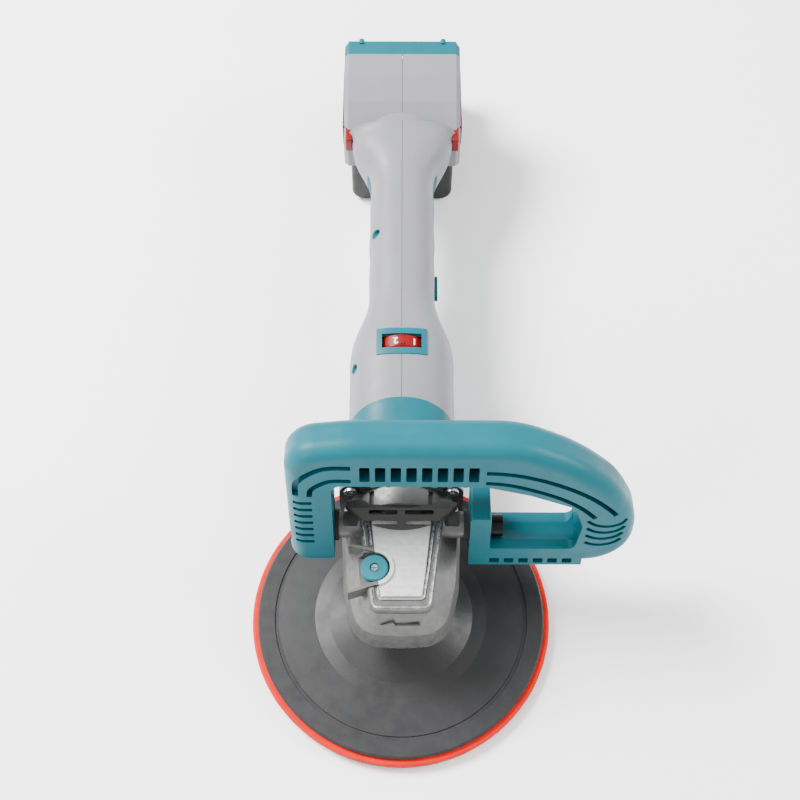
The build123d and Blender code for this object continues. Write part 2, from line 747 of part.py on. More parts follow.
def dial_window():
    return slab(-12.5, 12.5, dial_y - dial_width / 2 - 0.6, dial_y + dial_width / 2 + 0.6, 80, 110)


def bezel_region():
    return slab(-16.0, 16.0, dial_y - 9.5, dial_y + 9.5, 80, 110)


def bumper_region():
    return slab(-60, 60, foot_back - 12.0, foot_back + 5, 84.0, 110)


def trigger_window():
    return slab(-trigger_width / 2 - moving, trigger_width / 2 + moving, trigger_front - 1.5, trigger_back + 1.2, 30, 52)


def latch_window(side):
    low = min(side * 34, side * 60)
    high = max(side * 34, side * 60)
    return slab(low, high, 334 - moving, 386 + moving, 60 - moving, 80 + moving)


def lock_on_window():
    return slab(14, 40, 199 - moving, 217 + moving, 64 - moving, 70 + moving)


def rail_space():
    """Room for the battery's two rails under and inside the foot."""
    neck = slab(-24.4, 24.4, pack_front + 4, foot_back + 5, foot_bottom - 4, 60)
    return neck + slab(-28.4, 28.4, pack_front + 4, foot_back + 5, 54.4 - moving + 0.2, 58)


def housing_pieces():
    """Left and right halves, front band, soft grips, bezel, rear bumper."""
    outer = barrel_and_grip(0.0)
    core = barrel_and_grip(band_thickness)
    band_zone = band_region(flange_back + 5.2, 112.0, 8.0)
    soft_zone = side_region() - band_region(flange_back - 10, 112.3, 8.0) - slab(-60, 60, 296, 420, 0, 200)
    band = (outer & band_zone) - core
    soft = (outer & soft_zone) - core
    grey = core + (outer - band_zone - soft_zone) + foot_block(0.0)
    shell = grey - (barrel_and_grip(shell_wall) + foot_block(shell_wall))
    for piece in [front_ring()] + inner_ribs():
        shell = shell + piece
    bezel = ((barrel_and_grip(-0.7) - barrel_and_grip(1.6)) & bezel_region()) - dial_window()
    shell = shell - ((barrel_and_grip(-2.0) - barrel_and_grip(1.6)) & bezel_region())
    windows = [trigger_window(), dial_window(), lock_on_window(), latch_window(1), latch_window(-1), rail_space()]
    windows += [cross(3.4, -60, x, y, z) for y, z, x in screw_places]
    windows.append(cross(2.0, -half_width_at_pin(), half_width_at_pin(), trigger_front + 5.0, 46.6))
    for window in windows:
        shell = shell - window
        soft = soft - window
    bumper = (foot_block(0.0) & bumper_region()) - foot_block(2.2)
    shell = shell - bumper_region()
    bumper = bumper - cross(3.4, -60, -30, 392.0, 90.0)
    for x in (-29, 29):
        bumper = bumper + Pos(x, foot_back - 0.5, foot_top - 0.8) * Rot(90, 0, 0) * Cylinder(2.0, 4.0)
    left = shell - slab(-100, half_gap / 2, 0, 500, -10, 200)
    right = shell - slab(-half_gap / 2, 100, 0, 500, -10, 200)
    soft_left = soft - slab(-100, half_gap / 2, 0, 500, -10, 200)
    soft_right = soft - slab(-half_gap / 2, 100, 0, 500, -10, 200)
    return left, right, band, soft_left, soft_right, bezel, bumper


# ---------------------------------------------------------------- loop handle
handle_plane = Plane(
    origin=(0, 30, 60), x_dir=(1, 0, 0),
    z_dir=(0, -math.cos(math.radians(handle_tilt)), math.sin(math.radians(handle_tilt))),
)


def in_handle(low, high, face):
    """Extrude a sketch of the handle's own plane between two depths, front positive."""
    return handle_plane * Pos(0, 0, low) * extrude(face, high - low)


def handle_blank():
    """Solid plate inside the loop's outer rim, with that rim rounded on both faces."""
    half = handle_thickness / 2
    centre_x = handle_right - loop_turn
    path = FilletPolyline(
        (handle_left, handle_bottom), (handle_left, handle_top - 5.0), (-30, handle_top), (66, handle_top), (100, 88.0), (125, 64.0),
        (handle_right, 38.0), (handle_right, handle_bottom), radius=[11, 20, 60, 60, 120, 60, 45, loop_turn], close=True,
    )
    body = in_handle(-half, half, make_face(path))
    rim = [e for e in body.edges() if abs(abs(handle_plane.to_local_coords(e.center()).Z) - half) < 0.05]
    body = fillet(rim, rim_round)
    low_arm = Pos((40.5 + centre_x) / 2, handle_bottom + 8.5) * Rectangle(centre_x - 40.5, 17.0)
    return body + in_handle(-half, half, low_arm)


def handle_window():
    """The open space inside the loop and between its two feet."""
    return make_face(FilletPolyline(
        (handle_left - 5, -20), (handle_left - 5, -1.5), (-40.0, -1.5), (-40.0, bar_bottom), (46.4, bar_bottom), (73.3, 64.2), (100.2, 51.9),
        (106.0, 34.0), (103.0, 12.0), (52.6, 12.0), (52.6, 41.0), (40.5, 41.0), (40.5, -20),
        radius=[0, 0, 2, 6, 20, 30, 8, 9, 5, 1.5, 1.5, 2, 0], close=True,
    ))


def bar_slots():
    slots = []
    for k in range(8):
        slots.append(Pos(-20.7 + 8.75 * k, 83.0) * RectangleRounded(5.8, 12.7, 0.9))
    return slots


def arm_slots():
    return [Pos(-56.8, 56.3 - 6.2 * k) * RectangleRounded(11.1, 2.6, 0.8) for k in range(7)]


def low_slots():
    return [Pos(56.0 + 8.75 * k, -0.2) * RectangleRounded(5.8, 4.6, 0.7) for k in range(6)]


def fan_slots():
    slots = []
    for k in range(4):
        level = 38.5 - 6.0 * k
        arc = ThreePointArc((108.5, level + 1.5 - k), (119.5, level - 3.8), (131.0 - k * 0.6, level + 2.6))
        slots.append(arc)
    return slots


def stroke(path, width):
    """Closed strip of constant width along a path in the plane."""
    return trace(path, width)


def loop_grooves():
    half = 1.7
    upper = Spline((47.5, 84.4), (75, 79.5), (100, 67.5), (124.5, 45.5), tangents=((1, 0), (0.62, -0.78)))
    lower = Spline((47.5, 75.4), (72, 70.0), (93, 60.0), (112.5, 42.5), tangents=((1, 0), (0.62, -0.78)))
    corner_out = Spline((-28.5, 88.6), (-45, 87.4), (-57.5, 78.0), (-60.4, 62.5), tangents=((-1, 0), (0, -1)))
    corner_in = Spline((-28.5, 77.0), (-42, 76.2), (-49.5, 71.0), (-52.3, 62.5), tangents=((-1, 0), (0, -1)))
    return [(upper, 3.2), (lower, 3.0), (corner_out, 3.6), (corner_in, 3.2)]


def loop_handle():
    half = handle_thickness / 2
    body = handle_blank() - in_handle(-half - 1, half + 1, handle_window())
    trough = handle_plane * Pos(78.3, 20.5, 0) * Rot(0, 90, 0) * Cylinder(10.6, 51.0)
    body = body - trough
    for face in bar_slots():
        body = body - in_handle(half - 9.0, half + 3, face)
    for face in arm_slots():
        body = body - in_handle(half - 6.0, half + 3, face)
    for face in low_slots():
        body = body - in_handle(half - 6.0, half + 3, face)
    for path, width in loop_grooves():
        body = body - in_handle(half - 4.5, half + 6, stroke(path, width))
    for path in fan_slots():
        body = body - in_handle(half - 5.0, half + 6, stroke(path, 2.4))
    nub_places = [-14.0 + 8.75 * k for k in range(8)]
    for x in nub_places:
        body = body + in_handle(-half - 0.8, -half + 2.0, Pos(x, 88.0) * RectangleRounded(3.0, 14.0, 1.0))
        body = body + in_handle(half - 8.0, half - 0.4, Pos(x - 2.3, bar_bottom - 0.2) * Rectangle(2.6, 2.2))
    body = body - cross(bolt_radius + 0.2, -80, 80, bolt_y, bolt_height)
    body = body - cross(9.0, -80, -50, bolt_y, bolt_height)
    return body


def handle_bolts():
    """Left and right socket bolts and the washers under their heads."""
    long_loop = cross(bolt_radius, 25, 52.8, bolt_y, bolt_height) + cross(6.6, 52.8, 60.5, bolt_y, bolt_height)
    long_loop = long_loop - Pos(59.5, bolt_y, bolt_height) * Rot(0, 90, 0) * extrude(RegularPolygon(3.6, 6), 3, both=True)
    foot = cross(bolt_radius, -50, -25, bolt_y, bolt_height) + cross(6.6, -57.6, -50, bolt_y, bolt_height)
    foot = foot - Pos(-56.6, bolt_y, bolt_height) * Rot(0, 90, 0) * extrude(RegularPolygon(3.6, 6), 3, both=True)
    return group([long_loop, foot])


def handle_spacers():
    rings = []
    for side in (1, -1):
        near = 37.2
        far = 40.5 if side > 0 else 40.0
        ring = cross(spacer_radius, min(side * near, side * far), max(side * near, side * far), bolt_y, bolt_height)
        rings.append(ring - cross(bolt_radius + 0.1, -80, 80, bolt_y, bolt_height))
    return group(rings)


# ---------------------------------------------------------------- battery
def battery_case():
    """Open-topped pack body; rounded lower corners."""
    outer = slab(-pack_half_width, pack_half_width, pack_front, pack_back, 0, pack_top - 3.0)
    body = fillet(outer.edges().filter_by(Axis.Y).group_by(Axis.Z)[0], 9.0)
    body = fillet(body.edges().filter_by(Axis.Z), 4.0)
    inner = slab(-pack_half_width + pack_wall, pack_half_width - pack_wall, pack_front + pack_wall, pack_back - pack_wall, pack_wall, pack_top)
    inner = fillet(inner.edges().filter_by(Axis.Y).group_by(Axis.Z)[0], 7.0)
    return body - inner


def battery_lid():
    """Top of the pack with the two slide rails and the contact slots."""
    low = pack_top - 3.0
    plate = slab(-pack_half_width, pack_half_width, pack_front, pack_back, low, pack_top)
    plate = fillet(plate.edges().filter_by(Axis.Z), 4.0)
    lip = slab(-pack_half_width + pack_wall + 0.1, pack_half_width - pack_wall - 0.1, pack_front + pack_wall + 0.1, pack_back - pack_wall - 0.1, low - 2.0, low)
    lip = lip - slab(-pack_half_width + 4, pack_half_width - 4, pack_front + 4, pack_back - 4, low - 3, low)
    body = plate + lip
    for side in (1, -1):
        neck = slab(min(side * 20, side * 24), max(side * 20, side * 24), pack_front + 8, foot_back, pack_top, 57.2)
        head = slab(min(side * 20, side * 28), max(side * 20, side * 28), pack_front + 8, foot_back, 54.6, 57.2)
        body = body + neck + head
    for x in (-12, -6, 6, 12):
        body = body - slab(x - 0.8, x + 0.8, pack_front + 12, pack_front + 32, pack_top - 2, pack_top + 1)
    return body


def battery_cells():
    cells = []
    pitch = 2 * cell_radius + 0.15
    for row in range(2):
        for k in range(cells_per_row):
            y = pack_front + pack_wall + 0.3 + cell_radius + k * pitch
            z = pack_wall + 3.6 + cell_radius + row * pitch
            cells.append(cross(cell_radius, -32.5, 32.5, y, z))
    return group(cells)


def terminal_block():
    block = slab(-16, 16, pack_front + 14, pack_front + 30, 60, 70)
    for x in (-12, -6, 6, 12):
        block = block + slab(x - 0.4, x + 0.4, pack_front + 15, pack_front + 29, 51.5, 61)
    return block


def latch(side):
    """Red release button on one flank of the foot, with its hooked tongue."""
    near = foot_half_width - 5.0
    face = foot_half_width + 1.0
    plate = slab(min(side * near, side * face), max(side * near, side * face), 334, 386, 60, 80)
    plate = fillet(plate.edges().filter_by(Axis.X), 2.5)
    hollow = slab(min(side * (near - 1), side * (face - 2.2)), max(side * (near - 1), side * (face - 2.2)), 336.4, 383.6, 62.4, 77.6)
    plate = plate - hollow
    tongue = slab(min(side * 31, side * (face - 2)), max(side * 31, side * (face - 2)), 342, 352, 66, 70)
    return plate + tongue


def latch_springs():
    springs = []
    for side in (1, -1):
        spring = Pos(side * 32.0, 372, 70) * Rot(0, side * 90, 0) * coil(2.6, 0.4, 0, foot_half_width + 1.0 - 2.2 - 32.0, 3)
        springs.append(spring)
    return springs


# ---------------------------------------------------------------- controls in the housing
def trigger():
    """Paddle under the grip that turns about a pin at its front end."""
    pivot_y = trigger_front + 5.0
    pivot_z = 46.6
    half = trigger_width / 2
    side = Plane.YZ * make_face(FilletPolyline(
        (trigger_front + 1.0, 50.0), (trigger_front + 0.6, 42.0), (trigger_front + 12, 38.6), (trigger_back - 10, 36.4),
        (trigger_back, 38.2), (trigger_back, 45.0), (trigger_front + 14, 47.8), (trigger_front + 9, 51.0), (trigger_front + 1.0, 50.0),
        radius=[2, 6, 8, 2, 1.5, 3, 2, 2],
    ))
    body = extrude(side, half, both=True)
    post = slab(-3, 3, trigger_back - 16, trigger_back - 10, 44, 53)
    return body + post - cross(2.0 + running, -20, 20, pivot_y, pivot_z)


def trigger_pin():
    return cross(2.0, -half_width_at_pin(), half_width_at_pin(), trigger_front + 5.0, 46.6)


def half_width_at_pin():
    return 12.5


def switch_module():
    body = slab(-8, 8, trigger_front + 14, trigger_back + 2, 60, 80)
    body = fillet(body.edges().filter_by(Axis.Z), 1.5)
    plunger = slab(-2.5, 2.5, trigger_back - 15.5, trigger_back - 10.5, 58.8, 60)
    return body + plunger


def lock_on_button():
    body = slab(12.0, grip_half_width + 2.0, 199, 217, 64, 70)
    return fillet(body.edges().filter_by(Axis.X), 2.5)


def speed_dial():
    """Knurled wheel with raised numbers one to six."""
    half = dial_width / 2
    body = Cylinder(dial_radius, dial_width)
    body = chamfer(body.edges().filter_by(GeomType.CIRCLE), 0.8)
    for k in range(60):
        if k % 6 in (0, 1, 5):
            continue
        for end in (1, -1):
            ridge = Rot(0, 0, 6 * k) * Pos(dial_radius, 0, end * (half - 1.2)) * Box(1.1, 0.8, 1.9)
            body = body - ridge
    body = body - Cylinder(3.0 + running, 40)
    for hole in range(5):
        body = body - Rot(0, 0, 72 * hole) * Pos(9.5, 0, 0) * Cylinder(2.6, 40)
    return Pos(0, dial_y, 78) * Rot(-90, 0, 0) * body


def speed_board():
    """Circuit board behind the dial, with the potentiometer and its shaft."""
    back = dial_y + dial_width / 2
    board = slab(-16, 16, back + 3.0, back + 4.6, 62, 88)
    pot = slab(-6, 6, back + 0.8, back + 3.0, 72, 84)
    shaft = along(3.0, dial_y - dial_width / 2 - 0.5, back + 0.8, 0, 78)
    return board + pot + shaft


def control_board():
    board = slab(-24, 24, 338, 380, 74, 75.6)
    fins = slab(-20, 20, 342, 376, 75.6, 78)
    for k in range(8):
        x = -19 + 5.2 * k
        fins = fins + slab(x, x + 1.6, 342, 376, 78, 84)
    return board + fins


def housing_screws():
    screws = []
    for y, z, x in screw_places:
        place = Pos(x, y, z) * Rot(0, -90, 0)
        screws.append(place * screw(min(9.0, abs(x) - 1.0), 1.5, 2.9, 2.2))
    return group(screws)


# ---------------------------------------------------------------- run
if __name__ == "__main__":
    lower_outer, lower_inner = ball_bearing(bearing_bore, bearing_outer, bearing_width)
    keep("hook_face", hook_face())
    keep("foam_layer", foam_layer())
    keep("backing_plate", backing_plate())
    keep("plate_hub", plate_hub())
    keep("spindle", spindle())
    keep("gear_clip", gear_clip())
    keep("spindle_bearing_outer", Pos(0, 0, bearing_low) * lower_outer)
    keep("spindle_bearing_inner", Pos(0, 0, bearing_low) * lower_inner)
    keep("crown_gear", crown_gear())
    keep("pinion", pinion())
    keep("pinion_nut", pinion_nut())
    case = gear_case()
    keep("gear_case", case)
    keep("air_baffle", air_baffle() - case)
    keep("bearing_retainer", bearing_retainer())
    keep("retainer_screws", retainer_screws())
    keep("head_screws", head_screws())
    keep("upper_bush", upper_bush())
    keep("spindle_seal", spindle_seal())
    keep("lock_button", lock_button())
    keep("lock_pin", lock_pin())
    keep("bearing_plate", bearing_plate())
    keep("plate_screws", plate_screws())
    keep("motor_shaft", motor_shaft())
    keep("rotor_core", rotor_core() - on_motor(rotor_magnets()))
    keep("rotor_magnets", on_motor(rotor_magnets()))
    keep("cooling_fan", cooling_fan())
    keep("stator_core", stator_core())
    keep("stator_windings", stator_windings())
    keep("rear_bracket", rear_bracket())
    names = ["left_housing", "right_housing", "front_band", "left_grip", "right_grip", "dial_bezel", "rear_bumper"]
    for name, piece in zip(names, housing_pieces()):
        keep(name, piece)
    keep("housing_screws", housing_screws())
    keep("loop_handle", loop_handle())
    keep("handle_bolts", handle_bolts())
    keep("handle_spacers", handle_spacers())
    keep("battery_case", battery_case())
    keep("battery_lid", battery_lid())
    keep("battery_cells", battery_cells())
    keep("terminal_block", terminal_block())
    keep("latch_left", latch(1))
    keep("latch_right", latch(-1))
    left_spring, right_spring = latch_springs()
    keep("latch_spring_left", left_spring)
    keep("latch_spring_right", right_spring)
    keep("trigger", trigger())
    keep("trigger_pin", trigger_pin())
    keep("switch_module", switch_module())
    keep("lock_on_button", lock_on_button())
    keep("speed_dial", speed_dial())
    keep("speed_board", speed_board())
    keep("control_board", control_board())
    rear_outer, rear_inner = ball_bearing(rear_bearing_bore, rear_bearing_outer, rear_bearing_width)
    keep("rear_bearing_outer", on_motor(Pos(0, 0, rear_bearing_start) * rear_outer))
    keep("rear_bearing_inner", on_motor(Pos(0, 0, rear_bearing_start) * rear_inner))
    front_outer, front_inner = ball_bearing(2 * shaft_radius, front_bearing_outer, front_bearing_width)
    keep("front_bearing_outer", on_motor(Pos(0, 0, front_bearing_start) * front_outer))
    keep("front_bearing_inner", on_motor(Pos(0, 0, front_bearing_start) * front_inner))
    keep("lock_spring", coil(4.4, 0.45, lock_floor, cap_low + 1.5, 3, lock_x, lock_y))
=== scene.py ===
import math

import bmesh
import bpy
from mathutils import Matrix, Vector


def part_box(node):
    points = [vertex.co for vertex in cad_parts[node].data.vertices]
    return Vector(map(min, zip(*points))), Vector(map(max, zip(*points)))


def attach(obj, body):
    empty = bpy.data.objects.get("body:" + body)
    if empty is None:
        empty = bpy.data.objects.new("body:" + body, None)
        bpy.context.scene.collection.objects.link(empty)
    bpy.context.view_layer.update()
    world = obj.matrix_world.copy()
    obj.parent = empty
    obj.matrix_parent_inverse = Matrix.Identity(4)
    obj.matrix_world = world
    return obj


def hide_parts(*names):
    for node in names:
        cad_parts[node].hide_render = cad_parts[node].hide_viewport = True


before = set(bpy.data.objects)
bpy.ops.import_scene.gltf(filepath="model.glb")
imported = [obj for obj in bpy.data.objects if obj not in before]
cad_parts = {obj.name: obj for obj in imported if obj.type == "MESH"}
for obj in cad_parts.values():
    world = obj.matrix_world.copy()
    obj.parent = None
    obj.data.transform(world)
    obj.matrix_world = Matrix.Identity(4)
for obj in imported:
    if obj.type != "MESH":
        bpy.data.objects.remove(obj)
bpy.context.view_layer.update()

bl_info = {
    "name": "Cordless Polisher Kit",
    "version": (1, 0, 0),
    "blender": (4, 5, 0),
    "location": "View3D > Sidebar > Polisher",
    "description": "Dresses a cordless right-angle polisher and models its fine pieces",
    "category": "Object",
}

MM = 0.001


# ------------------------------------------------------------------ settings
class PolisherColours(bpy.types.PropertyGroup):
    """Colours of the finishes, as linear values."""

    teal: bpy.props.FloatVectorProperty(name="Teal", description="Loop handle, band and bumper", subtype="COLOR", size=3, default=(0.0, 0.088, 0.114))
    teal_soft: bpy.props.FloatVectorProperty(name="Soft teal", description="Overmoulded grips", subtype="COLOR", size=3, default=(0.0, 0.060, 0.078))
    shell_grey: bpy.props.FloatVectorProperty(name="Shell grey", description="Housing halves", subtype="COLOR", size=3, default=(0.165, 0.165, 0.181))
    charcoal: bpy.props.FloatVectorProperty(name="Charcoal", description="Dark mouldings", subtype="COLOR", size=3, default=(0.010, 0.010, 0.0105))
    collar: bpy.props.FloatVectorProperty(name="Collar grey", description="Air collar", subtype="COLOR", size=3, default=(0.026, 0.026, 0.0245))
    red: bpy.props.FloatVectorProperty(name="Red", description="Dial and release buttons", subtype="COLOR", size=3, default=(0.16, 0.0, 0.001))
    foam: bpy.props.FloatVectorProperty(name="Foam", description="Foam layer of the pad", subtype="COLOR", size=3, default=(0.50, 0.004, 0.001))
    plate: bpy.props.FloatVectorProperty(name="Plate", description="Backing plate", subtype="COLOR", size=3, default=(0.017, 0.017, 0.0178))
    alloy: bpy.props.FloatVectorProperty(name="Alloy", description="Cast gear case", subtype="COLOR", size=3, default=(0.095, 0.095, 0.092))


class PolisherSizes(bpy.types.PropertyGroup):
    """Sizes of the pieces that are modelled here; the springs' wire radius is not used."""

    foam_bulge: bpy.props.FloatProperty(name="Foam bulge", description="How far the foam's flank swells", default=0.5 * MM, unit="LENGTH")
    wire: bpy.props.FloatProperty(name="Spring wire", description="Radius of the springs' wire", default=0.42 * MM, unit="LENGTH")
    digit_height: bpy.props.FloatProperty(name="Digit height", description="Height of the dial's numbers", default=4.6 * MM, unit="LENGTH")


# ------------------------------------------------------------------ materials
def new_material(name):
    mat = bpy.data.materials.new(name)
    mat.use_nodes = True
    tree = mat.node_tree
    shader = tree.nodes["Principled BSDF"]
    coords = tree.nodes.new("ShaderNodeTexCoord")
    return mat, tree, shader, coords


def noise(tree, coords, scale, detail=3.0, rough=0.55, stretch=None):
    source = coords.outputs["Object"]
    if stretch:
        mapping = tree.nodes.new("ShaderNodeMapping")
        mapping.inputs["Scale"].default_value = stretch
        tree.links.new(source, mapping.inputs["Vector"])
        source = mapping.outputs["Vector"]
    node = tree.nodes.new("ShaderNodeTexNoise")
    node.inputs["Scale"].default_value = scale
    node.inputs["Detail"].default_value = detail
    node.inputs["Roughness"].default_value = rough
    tree.links.new(source, node.inputs["Vector"])
    return node.outputs["Fac"]


def ramp(tree, value, low, high, low_at=0.35, high_at=0.65):
    node = tree.nodes.new("ShaderNodeMapRange")
    node.inputs["From Min"].default_value = low_at
    node.inputs["From Max"].default_value = high_at
    node.inputs["To Min"].default_value = low
    node.inputs["To Max"].default_value = high
    tree.links.new(value, node.inputs["Value"])
    return node.outputs["Result"]


def tint(tree, shader, value, colour, spread, low_at=0.3, high_at=0.7):
    """Colour that drifts a little darker and lighter with a noise value."""
    node = tree.nodes.new("ShaderNodeValToRGB")
    node.color_ramp.elements[0].position = low_at
    node.color_ramp.elements[1].position = high_at
    node.color_ramp.elements[0].color = [c * (1 - spread) for c in colour] + [1]
    node.color_ramp.elements[1].color = [min(1.0, c * (1 + spread)) for c in colour] + [1]
    tree.links.new(value, node.inputs["Fac"])
    tree.links.new(node.outputs["Color"], shader.inputs["Base Color"])
    return node


def bump(tree, shader, value, distance, strength=1.0, previous=None):
    node = tree.nodes.new("ShaderNodeBump")
    node.inputs["Distance"].default_value = distance
    node.inputs["Strength"].default_value = strength
    tree.links.new(value, node.inputs["Height"])
    if previous:
        tree.links.new(previous, node.inputs["Normal"])
    tree.links.new(node.outputs["Normal"], shader.inputs["Normal"])
    return node.outputs["Normal"]


def moulded(name, colour, roughness, grain=2600.0, depth=0.00002, spread=0.05, coat=0.0, gloss=0.3):
    """Moulded plastic with spark-eroded grain, faint flow marks and uneven gloss."""
    mat, tree, shader, coords = new_material(name)
    clouds = noise(tree, coords, 35.0, 4.0)
    tint(tree, shader, clouds, colour, spread)
    fine = noise(tree, coords, grain, 2.0, 0.6)
    bump(tree, shader, fine, depth)
    patches = noise(tree, coords, 120.0, 5.0)
    tree.links.new(ramp(tree, patches, roughness - 0.05, roughness + 0.07), shader.inputs["Roughness"])
    shader.inputs["Specular IOR Level"].default_value = gloss
    shader.inputs["Coat Weight"].default_value = coat
    return mat


def cast_alloy(name, colour, roughness=0.42):
    """Die-cast aluminium: shot-blasted skin with small pits and brighter rubbed spots."""
    mat, tree, shader, coords = new_material(name)
    tint(tree, shader, noise(tree, coords, 60.0, 6.0), colour, 0.10)
    fine = noise(tree, coords, 1500.0, 5.0, 0.7)
    first = bump(tree, shader, fine, 0.00005)
    cells = tree.nodes.new("ShaderNodeTexVoronoi")
    cells.inputs["Scale"].default_value = 420.0
    tree.links.new(coords.outputs["Object"], cells.inputs["Vector"])
    pits = ramp(tree, cells.outputs["Distance"], 0.0, 1.0, 0.0, 0.22)
    bump(tree, shader, pits, 0.00002, 0.6, first)
    tree.links.new(ramp(tree, noise(tree, coords, 260.0, 5.0), roughness - 0.07, roughness + 0.10), shader.inputs["Roughness"])
    shader.inputs["Metallic"].default_value = 0.55
    return mat


def maths(tree, kind, one, two):
    node = tree.nodes.new("ShaderNodeMath")
    node.operation = kind
    for socket, value in zip(node.inputs, (one, two)):
        if hasattr(value, "is_linked"):
            tree.links.new(value, socket)
        else:
            socket.default_value = value
    return node.outputs["Value"]


def case_alloy_painted_top(name, colour):
    """Cast head with a painted highlight: the top field is painted brighter, standing in for the light that falls on
    it; the rest keeps its dull blasted skin.
    """
    mat = cast_alloy(name, colour)
    tree = mat.node_tree
    shader = tree.nodes["Principled BSDF"]
    coords = next(n for n in tree.nodes if n.type == "TEX_COORD")
    # Mask of the top field that carries the painted highlight; the front nose and the drum behind it are left out.
    split = tree.nodes.new("ShaderNodeSeparateXYZ")
    tree.links.new(coords.outputs["Object"], split.inputs["Vector"])
    across = maths(tree, "ABSOLUTE", split.outputs["X"], 0.0)
    edge = maths(tree, "MULTIPLY_ADD", split.outputs["Y"], 0.115)
    edge.node.inputs[2].default_value = 0.0142
    inside = ramp(tree, maths(tree, "SUBTRACT", edge, across), 0.0, 1.0, 0.0, 0.0006)
    ahead = ramp(tree, split.outputs["Y"], 0.0, 1.0, -0.0146, -0.0138)
    behind = ramp(tree, split.outputs["Y"], 1.0, 0.0, 0.033, 0.034)
    above = ramp(tree, split.outputs["Z"], 0.0, 1.0, 0.0838, 0.0842)
    field = maths(tree, "MULTIPLY", maths(tree, "MULTIPLY", inside, ahead), maths(tree, "MULTIPLY", above, behind))
    # Painted highlight: streaked light grey that stands in for light on the top field.
    top_streaks = noise(tree, coords, 400.0, 4.0, 0.6, (0.04, 1.0, 1.0))
    painted_top_light = tree.nodes.new("ShaderNodeValToRGB")
    painted_top_light.color_ramp.elements[0].color = (0.42, 0.42, 0.415, 1)
    painted_top_light.color_ramp.elements[1].color = (0.62, 0.62, 0.61, 1)
    tree.links.new(top_streaks, painted_top_light.inputs["Fac"])
    blend = tree.nodes.new("ShaderNodeMix")
    blend.data_type = "RGBA"
    tree.links.new(field, blend.inputs["Factor"])
    tree.links.new(shader.inputs["Base Color"].links[0].from_socket, blend.inputs["A"])
    tree.links.new(painted_top_light.outputs["Color"], blend.inputs["B"])
    tree.links.new(blend.outputs["Result"], shader.inputs["Base Color"])
    return mat


def ground_steel(name, colour, roughness=0.28, lay=(1.0, 1.0, 40.0)):
    """Turned or ground steel with fine tool marks along one way."""
    mat, tree, shader, coords = new_material(name)
    marks = noise(tree, coords, 260.0, 4.0, 0.6, lay)
    tint(tree, shader, marks, colour, 0.10)
    bump(tree, shader, marks, 0.00001)
    tree.links.new(ramp(tree, marks, roughness - 0.08, roughness + 0.10), shader.inputs["Roughness"])
    shader.inputs["Metallic"].default_value = 1.0
    return mat


def foam_material(name, colour):
    """Closed-cell foam: small round cells, colour a little uneven."""
    mat, tree, shader, coords = new_material(name)
    cells = tree.nodes.new("ShaderNodeTexVoronoi")
    cells.inputs["Scale"].default_value = 900.0
    tree.links.new(coords.outputs["Object"], cells.inputs["Vector"])
    tint(tree, shader, noise(tree, coords, 90.0, 6.0), colour, 0.14)
    first = bump(tree, shader, cells.outputs["Distance"], 0.00022, 0.8)
    bump(tree, shader, noise(tree, coords, 300.0, 5.0), 0.00020, 0.5, first)
    shader.inputs["Roughness"].default_value = 0.86
    shader.inputs["Sheen Weight"].default_value = 0.06
    shader.inputs["Sheen Roughness"].default_value = 0.5
    shader.inputs["Specular IOR Level"].default_value = 0.15
    return mat


def hook_material(name):
    """Hook fabric seen from below: rows of small stubs on a woven base."""
    mat, tree, shader, coords = new_material(name)
    waves = tree.nodes.new("ShaderNodeTexWave")
    waves.inputs["Scale"].default_value = 260.0
    waves.inputs["Distortion"].default_value = 1.2
    waves.inputs["Detail"].default_value = 2.0
    tree.links.new(coords.outputs["Object"], waves.inputs["Vector"])
    cells = tree.nodes.new("ShaderNodeTexVoronoi")
    cells.inputs["Scale"].default_value = 650.0
    tree.links.new(coords.outputs["Object"], cells.inputs["Vector"])
    tint(tree, shader, cells.outputs["Distance"], (0.02, 0.02, 0.021), 0.6, 0.0, 0.6)
    first = bump(tree, shader, waves.outputs["Fac"], 0.0002)
    bump(tree, shader, cells.outputs["Distance"], 0.0004, 1.0, first)
    shader.inputs["Roughness"].default_value = 0.9
    return mat


def laminated(name, colour):
    """Stack of thin stampings along the motor."""
    mat, tree, shader, coords = new_material(name)
    waves = tree.nodes.new("ShaderNodeTexWave")
    waves.bands_direction = "Y"
    waves.inputs["Scale"].default_value = 320.0
    tree.links.new(coords.outputs["Object"], waves.inputs["Vector"])
    tint(tree, shader, waves.outputs["Fac"], colour, 0.35, 0.2, 0.8)
    bump(tree, shader, waves.outputs["Fac"], 0.00008)
    shader.inputs["Metallic"].default_value = 0.9
    shader.inputs["Roughness"].default_value = 0.5
    return mat


def wound_copper(name):
    """Enamelled wire laid in turns."""
    mat, tree, shader, coords = new_material(name)
    waves = tree.nodes.new("ShaderNodeTexWave")
    waves.bands_direction = "DIAGONAL"
    waves.inputs["Scale"].default_value = 420.0
    waves.inputs["Distortion"].default_value = 0.6
    tree.links.new(coords.outputs["Object"], waves.inputs["Vector"])
    tint(tree, shader, waves.outputs["Fac"], (0.45, 0.13, 0.04), 0.4, 0.2, 0.9)
    bump(tree, shader, waves.outputs["Fac"], 0.0003)
    shader.inputs["Metallic"].default_value = 0.9
    shader.inputs["Roughness"].default_value = 0.3
    shader.inputs["Coat Weight"].default_value = 0.4
    return mat


